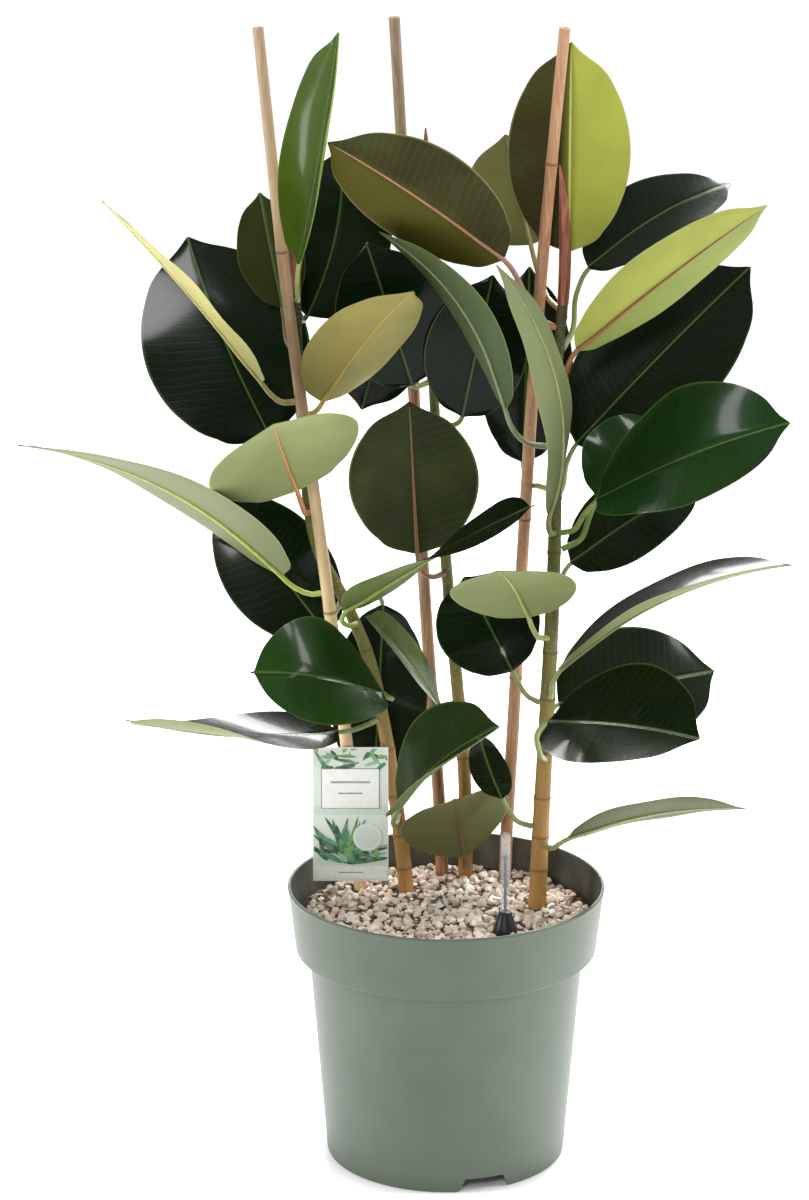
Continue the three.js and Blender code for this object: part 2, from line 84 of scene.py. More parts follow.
# %% Shader sums
class Wire:
    """One value that varies over a surface, with the operators that add Math nodes to it."""

    def __init__(self, finish, socket):
        self.finish = finish
        self.socket = socket

    def sum_with(self, operation, *values):
        return self.finish.add("ShaderNodeMath", {"operation": operation}, dict(enumerate(values)))

    def __add__(self, other):
        return self.sum_with("ADD", self, other)

    def __sub__(self, other):
        return self.sum_with("SUBTRACT", self, other)

    def __rsub__(self, other):
        return self.sum_with("SUBTRACT", other, self)

    def __mul__(self, other):
        return self.sum_with("MULTIPLY", self, other)

    def __abs__(self):
        return self.sum_with("ABSOLUTE", self)

    __radd__ = __add__
    __rmul__ = __mul__

    def step(self, low, high):
        """0 below low, 1 above high, eased between them."""
        return self.finish.add(
            "ShaderNodeMapRange",
            {"interpolation_type": "SMOOTHSTEP"},
            {"Value": self, "From Min": low, "From Max": high},
        )


class Finish:
    """A material: a Principled surface, and methods that wire patterns into it."""

    def __init__(self, name, **surface):
        self.material = bpy.data.materials.new(name)
        self.material.use_nodes = True
        self.tree = self.material.node_tree
        self.surface = self.tree.nodes["Principled BSDF"]
        for socket, value in surface.items():
            self.surface.inputs[socket.replace("_", " ")].default_value = value

    def add(self, kind, settings=None, sockets=None, output=0):
        node = self.tree.nodes.new(kind)
        for key, value in (settings or {}).items():
            if key == "stops":
                for place, colour in value[2:]:
                    node.color_ramp.elements.new(place)
                for element, (place, colour) in zip(node.color_ramp.elements, value):
                    element.position = place
                    element.color = (*colour, 1)
            else:
                setattr(node, key, value)
        for key, value in (sockets or {}).items():
            if isinstance(value, Wire):
                self.tree.links.new(value.socket, node.inputs[key])
            else:
                node.inputs[key].default_value = value
        return Wire(self, node.outputs[output])

    def place(self, scale=(1, 1, 1)):
        """Object coordinates in metres, stretched by scale."""
        return self.add(
            "ShaderNodeMapping",
            {},
            {"Vector": self.add("ShaderNodeTexCoord", output="Object"), "Scale": scale},
        )

    def attribute(self, name, output="Vector"):
        return self.add("ShaderNodeAttribute", {"attribute_name": name}, output=output)

    def noise(self, vector, scale, detail=3.0, roughness=0.5):
        return self.add(
            "ShaderNodeTexNoise",
            {},
            {"Vector": vector, "Scale": scale, "Detail": detail, "Roughness": roughness},
        )

    def blend(self, share, low, high, kind="MIX"):
        """low where share is 0 and high where it is 1; low and high are colours."""
        wanted = {}
        for key, value in ((0, share), (6, low), (7, high)):
            wanted[key] = value if isinstance(value, Wire) or key == 0 else (*value, 1)
        return self.add(
            "ShaderNodeMix", {"data_type": "RGBA", "blend_type": kind}, wanted, output=2
        )

    def ramp(self, value, *stops):
        return self.add("ShaderNodeValToRGB", {"stops": stops}, {"Fac": value})

    def wire(self, **sockets):
        for key, value in sockets.items():
            self.tree.links.new(value.socket, self.surface.inputs[key.replace("_", " ")])

    def bump(self, height, distance, strength=1.0):
        self.wire(
            Normal=self.add(
                "ShaderNodeBump",
                {},
                {"Height": height, "Distance": distance, "Strength": strength},
            )
        )


def tint(red, green, blue):
    """A colour named by its everyday 0 to 255 values, as the light it stands for."""
    return tuple(
        v / 3294.6 if v <= 10 else ((v / 255 + 0.055) / 1.055) ** 2.4 for v in (red, green, blue)
    )


# %% [markdown]
# ## Making pieces
# Each piece is made in a bmesh, then handed to one function that turns it into an object at
# the origin, lets it ride on the plant's one body, and hides the engineering solid it stands
# for. Edges that turn sharply are marked, so that rims stay crisp while the rest is smooth.

# %% Making pieces
SHARP = math.radians(50)


def make_piece(name, bm, finishes, slot, *nodes):
    for face in bm.faces:
        face.smooth = True
    for edge in bm.edges:
        if len(edge.link_faces) == 2 and edge.calc_face_angle(0) > SHARP:
            edge.smooth = False
    mesh = bpy.data.meshes.new(name)
    bm.to_mesh(mesh)
    bm.free()
    for finish in finishes:
        mesh.materials.append(finish.material)
    piece = bpy.data.objects.new(name, mesh)
    scene.collection.objects.link(piece)
    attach(piece, "root")
    if nodes:
        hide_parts(*nodes)
    return piece


def smooth_through(knots, points, at):
    """Points on a smooth curve that passes through points, each at its knot."""
    points = np.asarray(points, float)
    slopes = np.gradient(points, knots, axis=0)
    i = np.clip(np.searchsorted(knots, at) - 1, 0, len(knots) - 2)
    span = (knots[i + 1] - knots[i])[:, None]
    x = (at - knots[i])[:, None] / span
    return (
        (2 * x**3 - 3 * x**2 + 1) * points[i]
        + (x**3 - 2 * x**2 + x) * span * slopes[i]
        + (3 * x**2 - 2 * x**3) * points[i + 1]
        + (x**3 - x**2) * span * slopes[i + 1]
    )


# %% [markdown]
# ## Reading the engineering solids
# Each cane, stem and leaf is a row of eight-point rings between two closing points, and those
# two are the only points with eight neighbours. Walking outwards from the thicker end gives
# the rings back in order. The first point of a leaf's ring is the middle of its upper side,
# because that side of a leaf stalk is a little flat.

# %% Reading the engineering solids
RING = 8


def rings_of(node):
    """The rings of a limb from its foot to its tip, as an array of rows, points and x, y, z."""
    bm = bmesh.new()
    bm.from_mesh(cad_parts[node].data)
    bmesh.ops.remove_doubles(bm, verts=bm.verts[:], dist=1e-6)
    near = {v: {e.other_vert(v) for e in v.link_edges} for v in bm.verts}
    caps = [v for v in bm.verts if len(near[v]) == RING]
    foot = max(caps, key=lambda cap: sum((v.co - cap.co).length for v in near[cap]))
    first = min(near[foot], key=lambda v: (v.co - foot.co).length)
    ahead = [w.co for v in near[foot] for w in near[v] if w not in near[foot] and w is not foot]
    along = sum(ahead, Vector()) / len(ahead) - foot.co
    beside = near[first] & near[foot]
    ring = [first, max(beside, key=lambda v: (first.co - foot.co).cross(v.co - foot.co).dot(along))]
    while len(ring) < RING:
        ring.append(next(v for v in near[ring[-1]] & near[foot] if v not in ring))
    seen = set(caps)
    rows = []
    while all(ring):
        rows.append([v.co[:] for v in ring])
        seen.update(ring)
        following = [None] * RING
        for v in {w for u in ring for w in near[u]} - seen:
            behind = {ring.index(w) for w in near[v] if w in ring}
            following[next(i for i in behind if (i - 1) % RING in behind)] = v
        ring = following
    bm.free()
    return np.array(rows)


example = rings_of("leaf_left_08")
print("leaf_left_08 has", len(example), "rings")

# %% [markdown]
# ## Rolled tubes
# Stalks, stems and canes are tubes whose thickness changes along them. A grid rolled about a
# path makes one in a single step: its two long sides meet at the seam, and its two ends are
# drawn in to a point, so merging doubles closes it.

# %% Rolled tubes
def roll(bm, path, radii, around, finish=0):
    """A closed tube about path; radii may be drawn in to 0 to close its ends."""
    path = np.asarray(path, float)
    along = np.gradient(path, axis=0)
    for row in (0, -1):
        along[row] = along[row + 1 if row == 0 else row - 1]
    along /= np.linalg.norm(along, axis=1)[:, None]
    side = np.cross(along[0], (0, -1, 0.01))
    sides = []
    for direction in along:
        side = side - direction * np.dot(side, direction)
        side /= np.linalg.norm(side)
        sides.append(side)
    ups = np.cross(sides, along)
    made = bmesh.ops.create_grid(bm, x_segments=around, y_segments=len(path) - 1, size=1)["verts"]
    length = bm.verts.layers.float["length"]
    gone = np.concatenate([[0], np.cumsum(np.linalg.norm(np.diff(path, axis=0), axis=1))])
    for v in made:
        row = round((v.co.y + 1) / 2 * (len(path) - 1))
        turn = math.pi * v.co.x
        offset = math.sin(turn) * sides[row] - math.cos(turn) * ups[row]
        v.co = Vector(path[row] + offset * radii[row])
        v[length] = gone[row]
    faces = {f for v in made for f in v.link_faces}
    for face in faces:
        face.material_index = finish
    bmesh.ops.reverse_faces(bm, faces=list(faces))
    bmesh.ops.remove_doubles(bm, verts=made, dist=1e-6)


def new_bmesh():
    bm = bmesh.new()
    bm.verts.layers.float.new("length")
    return bm


# %% [markdown]
# ## Leaf finishes
# A rubber plant's leaf is dark green and as glossy as lacquer above, and pale, matt and
# yellowish beneath. Fine veins leave the midrib almost square to it, a few millimetres apart,
# and the margin is a thin pale line. The blade carries its own measurements as an attribute
# (metres from the midrib and from the foot, and how near the margin), so the veins follow it.

# %% Leaf finishes
VEIN_SPACING = 0.0062
VEIN_SLANT = 0.32


def vein_lines(finish):
    """1 along the fine side veins, with the blade's own measurements beside it."""
    parts = finish.add("ShaderNodeSeparateXYZ", {}, {"Vector": finish.attribute("blade")}, 0)
    node = parts.socket.node
    across, down, margin = (Wire(finish, node.outputs[i]) for i in range(3))
    wander = finish.noise(finish.place(), 45, 2)
    run = (down - abs(across) * VEIN_SLANT) * (1 / VEIN_SPACING) + wander * 1.1
    wave = run.sum_with("PINGPONG", run, 0.5) * 2
    return wave.step(0.72, 1.0), abs(across), margin.step(0.955, 0.995)


leaf_upper = Finish(
    "glossy leaf, upper side", Specular_IOR_Level=0.06, Coat_Weight=0.2, Coat_Roughness=0.1
)
veins, from_midrib, at_margin = vein_lines(leaf_upper)
patches = leaf_upper.noise(leaf_upper.place(), 16, 4)
tone = leaf_upper.attribute("tone", "Color")
colour = leaf_upper.blend(patches.step(0.3, 0.8) * 0.4, tone, tint(9, 20, 7))
colour = leaf_upper.blend(veins * 0.03, colour, tint(96, 128, 70))
colour = leaf_upper.blend((1 - from_midrib.step(0.0003, 0.0012)) * 0.7, colour, tint(84, 112, 52))
colour = leaf_upper.blend(at_margin * 0.35, colour, tint(110, 124, 70))
leaf_upper.wire(Base_Color=colour, Roughness=leaf_upper.noise(leaf_upper.place(), 60) * 0.14 + 0.2)
leaf_upper.bump(from_midrib.step(0, 0.003) * 2 - veins * 0.06 + patches * 1.2, 0.0004)

leaf_under = Finish("pale leaf, underside", Roughness=0.55, Specular_IOR_Level=0.14)
veins, from_midrib, at_margin = vein_lines(leaf_under)
patches = leaf_under.noise(leaf_under.place(), 22, 4)
# The underside colour carries painted light and painted shade on the two halves of each leaf.
tone = leaf_under.attribute("under", "Color")
colour = leaf_under.blend(patches.step(0.35, 0.75) * 0.25, tone, tint(92, 104, 50))
colour = leaf_under.blend(veins * 0.035, colour, tint(168, 172, 120))
colour = leaf_under.blend(at_margin * 0.4, colour, tint(176, 178, 128))
leaf_under.wire(Base_Color=colour)
leaf_under.bump(veins * 0.12 + patches, 0.0002)

stalk_skin = Finish("leaf stalk and midrib", Roughness=0.4)
blotches = stalk_skin.noise(stalk_skin.place((1, 1, 0.4)), 190, 3)
tone = stalk_skin.attribute("tone", "Color")
stalk_skin.wire(Base_Color=stalk_skin.blend(blotches.step(0.4, 0.8) * 0.3, tone, tint(70, 60, 28)))
stalk_skin.bump(blotches, 0.0003)
print("leaf finishes:", len(leaf_upper.tree.nodes) + len(leaf_under.tree.nodes), "nodes")

# %% [markdown]
# ## The leaves' colours
# No two leaves of the plant have the same colours. Young ones at the top are yellow-green,
# leaves with the light behind them are given a brighter underside as painted light, and the
# midrib beneath runs from pink and orange to brown. Each leaf has an upper colour, a colour for
# each half of its underside, and one for its midrib; where a leaf turns one half of its
# underside to the light, that half is painted lighter as painted light and the other darker as
# painted shade. Leaves not named here take the ordinary ones.

# %% The leaves' colours
DARK = tint(12, 25, 8)
MOSS = tint(30, 56, 18)
LEAF_COLOURS = {
    # node: (upper side, underside left of the midrib, underside right of it, midrib)
    # Where a leaf's two underside colours differ, the lighter half is painted light and the darker half
    # painted shade.
    "leaf_left_01": (tint(66, 88, 20), tint(118, 142, 56), tint(118, 142, 56), tint(170, 190, 110)),
    "leaf_left_02": (tint(24, 36, 18), tint(60, 66, 36), tint(60, 66, 36), tint(90, 100, 60)),
    "leaf_left_03": (tint(52, 56, 26), tint(70, 74, 40), tint(70, 74, 40), tint(110, 90, 60)),
    "leaf_left_05": (tint(60, 80, 30), tint(190, 184, 112), tint(190, 184, 112), tint(206, 196, 120)),
    "leaf_left_06": (MOSS, tint(176, 164, 96), tint(182, 172, 106), tint(206, 184, 96)),
    "leaf_left_07": (DARK, tint(142, 150, 100), tint(146, 154, 100), tint(204, 138, 74)),
    "leaf_left_08": (DARK, tint(112, 120, 80), tint(116, 124, 84), tint(184, 196, 90)),
    "leaf_left_10": (tint(34, 66, 20), tint(90, 104, 60), tint(90, 104, 60), tint(120, 150, 60)),
    "leaf_left_11": (DARK, tint(138, 146, 104), tint(138, 146, 104), tint(150, 160, 110)),
    "leaf_left_12": (DARK, tint(104, 120, 66), tint(104, 120, 66), tint(150, 170, 80)),
    "leaf_left_14": (tint(36, 52, 20), tint(90, 100, 60), tint(90, 100, 60), tint(130, 140, 90)),
    "leaf_centre_03": (DARK, tint(50, 58, 28), tint(42, 50, 22), tint(132, 96, 58)),
    "leaf_centre_04": (tint(78, 94, 40), tint(90, 106, 52), tint(90, 106, 52), tint(120, 80, 48)),
    "leaf_centre_05": (MOSS, tint(112, 116, 76), tint(104, 108, 68), tint(110, 82, 50)),
    "leaf_right_01": (DARK, tint(86, 80, 28), tint(50, 48, 14), tint(176, 128, 100)),
    "leaf_right_02": (DARK, tint(80, 96, 62), tint(72, 88, 54), tint(130, 140, 100)),
    "leaf_right_03": (DARK, tint(120, 130, 90), tint(112, 122, 84), tint(150, 150, 100)),
    "leaf_right_05": (DARK, tint(128, 138, 90), tint(128, 138, 90), tint(170, 180, 100)),
    "leaf_right_07": (MOSS, tint(58, 52, 16), tint(168, 174, 72), tint(188, 190, 92)),
    "leaf_right_08": (MOSS, tint(122, 118, 68), tint(122, 118, 68), tint(150, 140, 84)),
    "leaf_right_10": (DARK, tint(160, 164, 78), tint(134, 146, 74), tint(140, 92, 50)),
    "leaf_right_12": (tint(24, 56, 20), tint(110, 130, 60), tint(110, 130, 60), tint(140, 160, 80)),
    "leaf_right_14": (tint(18, 26, 20), tint(124, 132, 82), tint(124, 132, 82), tint(140, 150, 90)),
    "leaf_right_17": (DARK, tint(82, 88, 58), tint(78, 84, 54), tint(150, 160, 100)),
    "leaf_right_18": (tint(26, 58, 20), tint(90, 104, 60), tint(90, 104, 60), tint(110, 140, 60)),
}
ORDINARY = (DARK, tint(104, 114, 74), tint(104, 114, 74), tint(140, 150, 92))

# %% [markdown]
# ## Growing a leaf
# The blade is a grid laid over the solid's upper side. Along the leaf its rows follow smooth
# curves through the solid's rings, and across it each half is the one parabola through the
# midrib, the middle and the margin, which is how a stiff leaf cups. The underside is a copy
# of the grid pushed down by the blade's thickness, which falls to nothing at the margin. The
# stalk and the raised midrib are one tapering tube.

# %% Growing a leaf
STALK_ROWS = 3
INNER_SHARE = 0.5**0.8  # how far out the solid's inner points are, as a share of half the width
BLADE = 0.0011
ACROSS_SEGMENTS = 18
ALONG_SEGMENTS = 48


def blade_surface(rings, waves):
    """A function that lays a point of the grid, -1 to 1 both ways, on the leaf's upper side.

    waves is how many ripples the margin has along the leaf, where they start and their height.
    """
    rows = rings[STALK_ROWS:]
    middle = rows[:, 0]
    knots = np.concatenate([[0], np.cumsum(np.linalg.norm(np.diff(middle, axis=0), axis=1))])
    at = knots[-1] * (0.5 - 0.5 * np.cos(np.linspace(0, math.pi, ALONG_SEGMENTS + 1)))
    rail = {i: smooth_through(knots, rows[:, i], at) for i in (0, 1, 2, 6, 7)}
    half = np.linalg.norm(rail[2] - rail[6], axis=1) / 2
    normal = np.cross(rail[2] - rail[6], np.gradient(rail[0], axis=0))
    normal /= np.linalg.norm(normal, axis=1)[:, None]
    spread = {}
    for sign, inner, outer in ((1, 1, 2), (-1, 7, 6)):
        near = rail[inner] - rail[0]
        far = rail[outer] - rail[0]
        curve = (near - INNER_SHARE * far) / (INNER_SHARE**2 - INNER_SHARE)
        spread[sign] = (far - curve, curve)
    count, phase, height = waves

    def lay(x, y):
        row = round((y + 1) / 2 * ALONG_SEGMENTS)
        share = abs(x) ** 0.85
        slope, curve = spread[1 if x >= 0 else -1][0][row], spread[1 if x >= 0 else -1][1][row]
        ripple = math.sin(count * math.tau * at[row] / knots[-1] + phase * (1 if x > 0 else 2))
        lift = height * ripple * share**2 * (half[row] / max(half))
        place = rail[0][row] + slope * share + curve * share**2 + normal[row] * lift
        blade = (math.copysign(share, x) * half[row], at[row], share)
        return Vector(place), Vector(blade), share

    return lay


def grow_leaf(node):
    rings = rings_of(node)
    dice = random.Random(node)
    waves = (dice.uniform(1.2, 2.6), dice.uniform(0, 6), dice.uniform(0.3, 1.3) * MM)
    lay = blade_surface(rings, waves)
    upper_tone, under_left_with_painted_light, under_right_with_painted_light, rib_tone = LEAF_COLOURS.get(node, ORDINARY)
    bm = new_bmesh()
    tone = bm.verts.layers.float_color.new("tone")
    under = bm.verts.layers.float_color.new("under")
    blade = bm.verts.layers.float_vector.new("blade")
    upper = bmesh.ops.create_grid(
        bm, x_segments=ACROSS_SEGMENTS, y_segments=ALONG_SEGMENTS, size=1
    )["verts"]
    shares = {}
    for v in upper:
        v.co, v[blade], share = lay(v.co.x, v.co.y)
        v[tone] = (*upper_tone, 1)
        # The two underside colours are blended across the midrib: painted light on a half turned to the
        # light, painted shade on the other half.
        left = min(1, max(0, 0.5 + v[blade].x / 0.003))
        v[under] = (*(np.array(under_left_with_painted_light) * left + np.array(under_right_with_painted_light) * (1 - left)), 1)
        shares[v] = share
    bmesh.ops.triangulate(bm, faces=bm.faces[:])
    bm.normal_update()
    upper_faces = bm.faces[:]
    copied = bmesh.ops.duplicate(bm, geom=upper_faces)
    lower = [f for f in copied["geom"] if isinstance(f, bmesh.types.BMFace)]
    for v in upper:
        twin = copied["vert_map"][v]
        twin.co -= v.normal * BLADE * (1 - shares[v] ** 6)
    for face in lower:
        face.material_index = 1
    bmesh.ops.reverse_faces(bm, faces=lower)
    bmesh.ops.remove_doubles(bm, verts=bm.verts[:], dist=5e-6)

    # The stalk runs from the stem to the blade, and on as the midrib under it.
    before = set(bm.verts)
    centres = rings.mean(axis=1)
    rows = rings[STALK_ROWS:]
    down = rows[:, 4] - rows[:, 0]
    down /= np.linalg.norm(down, axis=1)[:, None]
    thick = np.linspace(1, 0.12, len(rows)) * 1.8 * MM
    midrib = rows[:, 0] + down * (thick + 0.45 * MM)[:, None]
    points = np.concatenate([centres[:STALK_ROWS], midrib])
    radii = np.concatenate([[2.5 * MM, 2.1 * MM, 2.0 * MM], thick])
    knots = np.concatenate([[0], np.cumsum(np.linalg.norm(np.diff(points, axis=0), axis=1))])
    at = np.linspace(0, knots[-1] * 0.985, 44)
    path = smooth_through(knots, points, at)
    path = np.concatenate([path[:1], path, path[-1:]])
    radius = np.concatenate([[0], np.interp(at, knots, radii), [0]])
    roll(bm, path, radius, 8, finish=2)
    for v in set(bm.verts) - before:
        v[tone] = (*rib_tone, 1)
    return make_piece(node + "_grown", bm, (leaf_upper, leaf_under, stalk_skin), "leaf", node)


leaves = [grow_leaf(node) for node in sorted(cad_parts) if node.startswith("leaf_")]
print("grew", len(leaves), "leaves of", len(leaves[0].data.polygons), "faces")

# %% [markdown]
# ## Canes, stems and buds
# A bamboo cane is straight-grained and straw to pinkish tan, with a raised ring and a darker
# groove at every node and a hollow, sawn top. The plant's own stems are green and smooth at the
# top and turn woody and brown towards the pumice, with a scar ring wherever a leaf left. The bud
# at each stem's end is wrapped in a red-brown pointed sheath.

# %% Cane, stem and bud finishes
bamboo = Finish("bamboo", Roughness=0.5)
grain = bamboo.noise(bamboo.place((1, 1, 0.03)), 900, 3)
stains = bamboo.noise(bamboo.place((1, 1, 0.35)), 22, 3)
length = bamboo.attribute("length", "Fac")
node_ring = bamboo.attribute("ring", "Fac")
straw = bamboo.blend(stains.step(0.42, 0.7) * 0.6, bamboo.attribute("tone", "Color"), tint(150, 92, 60))
colour = bamboo.blend(grain.step(0.35, 0.75) * 0.3, straw, tint(230, 200, 146))
colour = bamboo.blend(node_ring.step(0.1, 0.9) * 0.75, colour, tint(96, 62, 38))
bamboo.wire(Base_Color=colour, Roughness=grain * 0.3 + 0.32)
bamboo.bump(grain, 0.0002)

cut_end = Finish("sawn bamboo end", Roughness=0.8)
rays = cut_end.noise(cut_end.place(), 1400, 3)
cut_end.wire(Base_Color=cut_end.ramp(rays, (0.3, tint(90, 62, 38)), (0.7, tint(196, 150, 104))))
cut_end.bump(rays, 0.0003)

bark = Finish("young bark", Roughness=0.55)
height = bark.add("ShaderNodeSeparateXYZ", {}, {"Vector": bark.place()}, 2)
cracks = bark.noise(bark.place((1, 1, 0.3)), 320, 4)
specks = bark.noise(bark.place(), 620, 2)
colour = bark.ramp(
    height + cracks * 0.06,
    (0.2, tint(186, 134, 74)),
    (0.32, tint(164, 126, 66)),
    (0.4, tint(104, 98, 40)),
    (0.58, tint(82, 90, 32)),
    (0.68, tint(66, 66, 34)),
)
colour = bark.blend(specks.step(0.6, 0.72) * 0.5, colour, tint(190, 170, 120))
colour = bark.blend(bark.attribute("ring", "Fac").step(0.1, 0.9) * 0.5, colour, tint(74, 48, 28))
bark.wire(Base_Color=colour)
bark.bump(cracks + specks * 0.5, 0.0008)

sheath = Finish("bud sheath", Roughness=0.38)
streaks = sheath.noise(sheath.place((1, 1, 0.08)), 420, 3)
colour = sheath.ramp(
    streaks, (0.3, tint(96, 44, 30)), (0.55, tint(138, 74, 48)), (0.8, tint(176, 112, 74))
)
sheath.wire(Base_Color=colour)
sheath.bump(streaks, 0.0003)

# %% Canes, stems and buds
RING_HALF = 2.2 * MM


def limb_of(node, finishes, slot, ring_places, ring_height, hollow=0.0, around=20, shades=(DARK, DARK)):
    """A tube through the solid's rings, with raised rings at shares of its length."""
    rings = rings_of(node)
    centres = rings.mean(axis=1)
    radii = np.linalg.norm(rings - centres[:, None], axis=2).mean(axis=1)
    knots = np.concatenate([[0], np.cumsum(np.linalg.norm(np.diff(centres, axis=0), axis=1))])
    ring_at = [knots[-1] * share for share in ring_places]
    fine = [p + step * RING_HALF for p in ring_at for step in (-1.5, -1, -0.5, -0.2, 0.1, 0.4, 1)]
    at = np.unique(np.clip(np.concatenate([np.linspace(0, knots[-1], 90), fine]), 0, knots[-1]))
    path = smooth_through(knots, centres, at)
    radius = np.interp(at, knots, radii)
    swell = np.zeros(len(at))
    groove = np.zeros(len(at))
    for place in ring_at:
        swell += np.exp(-(((at - place) / RING_HALF) ** 2))
        groove += np.exp(-(((at - place - 0.3 * RING_HALF) / (0.22 * RING_HALF)) ** 2))
    radius = radius + ring_height * (swell - 0.7 * groove)
    bm = new_bmesh()
    ring = bm.verts.layers.float.new("ring")
    tone = bm.verts.layers.float_color.new("tone")
    foot_shade, tip_shade = (np.array(shade) for shade in shades)
    top = path[-1]
    if hollow:
        inward = (path[-2] - top) / np.linalg.norm(path[-2] - top) * 6 * MM
        path = np.concatenate([path[:1], path, [top, top + inward, top + inward]])
        radius = np.concatenate([[0], radius, [radius[-1] * hollow, radius[-1] * hollow, 0]])
        swell = np.concatenate([[0], swell, [0, 0, 0]])
    else:
        path = np.concatenate([path[:1], path, path[-1:]])
        radius = np.concatenate([[0], radius, [0]])
        swell = np.concatenate([[0], swell, [0]])
    roll(bm, path, radius, around)
    length = bm.verts.layers.float["length"]
    for v in bm.verts:
        nearest = min(abs(v[length] - place) for place in ring_at or [9])
        v[ring] = math.exp(-((nearest / (0.5 * RING_HALF)) ** 2))
        share = min(1, v[length] / knots[-1])
        v[tone] = (*(foot_shade * (1 - share) + tip_shade * share), 1)
    if hollow:
        for face in bm.faces:
            if (face.calc_center_median() - Vector(top)).length < radii[-1] * 1.02 and all(
                (v.co - Vector(top)).length < radii[-1] * 1.05 or v.co.z < top[2] - 5 * MM
                for v in face.verts
            ):
                face.material_index = 1
    return make_piece(node + "_grown", bm, finishes, slot, node)


CANE_RINGS = (0.3, 0.46, 0.63, 0.8)
LEAF_SCARS = (0.14, 0.19, 0.25, 0.32, 0.4, 0.47, 0.55, 0.62, 0.7, 0.78, 0.85, 0.91, 0.96)
CANE_SHADES = {  # at the foot and at the tip
    "left": (tint(255, 226, 170), tint(162, 134, 108)),
    # The centre cane's greyish brown, darker towards its tip, is its own colour darkened with painted
    # shade where it stands among the leaves.
    "centre": (tint(160, 112, 82), tint(120, 104, 86)),
    "right": (tint(156, 108, 76), tint(176, 128, 94)),
}
for side, shift in (("left", 0.0), ("centre", 0.045), ("right", 0.08)):
    places = [place + shift for place in CANE_RINGS]
    limb_of(
        f"cane_{side}", (bamboo, cut_end), "bamboo", places, 0.55 * MM, 0.45, 20, CANE_SHADES[side]
    )
    scars = [scar + shift * 0.3 for scar in LEAF_SCARS]
    limb_of(f"stem_{side}", (bark,), "bark", scars, 0.5 * MM)
    limb_of(f"bud_{side}", (sheath,), "bud_sheath", [], 0, around=14)
print("canes, stems and buds are in place")

# %% [markdown]
# ## The pot
# The pot is injection-moulded plastic in a sage grey-green: a wide collar under a thin rim, a
# tapering body and a foot with drain notches. A turned shape is one outline spun about the
# pot's axis, with its corners then bevelled, and the notches and holes are cut with simple
# blocks and rods. A fine mottle keeps it from looking like paint.

# %% Pot finish
sage = Finish("sage pot plastic", Roughness=0.44)
mottle = sage.noise(sage.place(), 26, 4)
fine = sage.noise(sage.place(), 900, 2)
colour = sage.ramp(
    mottle, (0.3, tint(76, 90, 75)), (0.5, tint(81, 94, 79)), (0.7, tint(86, 97, 83))
)
sage.wire(Base_Color=colour, Roughness=mottle * 0.14 + 0.36)
sage.bump(fine + mottle * 2, 0.00012)

sage_inside = Finish("inside of the pot", Roughness=0.6)
dust = sage_inside.noise(sage_inside.place(), 60, 4)
sage_inside.wire(
    Base_Color=sage_inside.ramp(dust, (0.3, tint(62, 66, 60)), (0.75, tint(90, 92, 84)))
)
sage_inside.bump(dust, 0.0003)

# %% Pot
pot_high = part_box("pot")[1]
RIM = pot_high.x
TOP = pot_high.z
WALL = 2.4 * MM
COLLAR_FOOT = TOP - 51 * MM
FOOT = 90.75 * MM
BODY_TOP = 104.5 * MM
COLLAR_LOW = 114 * MM
FLOOR = 12 * MM
DISC = 48 * MM
POT_TURNS = 128


def outline(bm, points, closed=False):
    verts = [bm.verts.new((r, 0, z)) for r, z in points]
    edges = [bm.edges.new(pair) for pair in zip(verts, verts[1:])]
    if closed:
        edges.append(bm.edges.new((verts[-1], verts[0])))
    return verts + edges


def turned(points, turns, closed=False):
    bm = bmesh.new()
    geom = outline(bm, points, closed)
    bmesh.ops.spin(
        bm, geom=geom, cent=(0, 0, 0), axis=(0, 0, 1), angle=math.tau, steps=turns, use_merge=True
    )
    bmesh.ops.remove_doubles(bm, verts=bm.verts[:], dist=1e-6)
    bmesh.ops.recalc_face_normals(bm, faces=bm.faces[:])
    return bm


def rounded_corner(before, corner, after, radius, steps=4):
    """The corner of an outline replaced by a small arc."""
    corner, one, two = Vector(corner), Vector(before), Vector(after)
    a = corner + (one - corner).normalized() * radius
    b = corner + (two - corner).normalized() * radius
    shares = [i / steps for i in range(steps + 1)]
    return [tuple((1 - t) ** 2 * a + 2 * t * (1 - t) * corner + t * t * b) for t in shares]


corners = [
    ((0, 0), 0),
    ((DISC, 0), 1.5),
    ((DISC + 2 * MM, FLOOR), 1.2),
    ((FOOT - 3.6 * MM, FLOOR), 1),
    ((FOOT - 3.6 * MM, 0), 0.8),
    ((FOOT, 0), 2.6),
    ((BODY_TOP - 0.3 * MM, COLLAR_FOOT), 0.8),
    ((COLLAR_LOW, COLLAR_FOOT), 2.2),
    ((RIM - 0.5 * MM, TOP - 3.2 * MM), 1),
    ((RIM, TOP - 2.2 * MM), 0.6),
    ((RIM, TOP), 1.1),
    ((RIM - WALL, TOP), 0.9),
    ((COLLAR_LOW - WALL + 0.3 * MM, COLLAR_FOOT + WALL), 2),
    ((BODY_TOP - WALL, COLLAR_FOOT + WALL), 1.5),
    ((FOOT - WALL + 1.2 * MM, FLOOR + WALL), 2),
    ((DISC, FLOOR + WALL), 1.5),
    ((DISC - WALL, WALL), 1.5),
    ((0, WALL), 0),
]
points = [corners[0][0]]
for i in range(1, len(corners) - 1):
    points += rounded_corner(corners[i - 1][0], corners[i][0], corners[i + 1][0], corners[i][1] * MM)
points.append(corners[-1][0])
bm = turned(points, POT_TURNS)
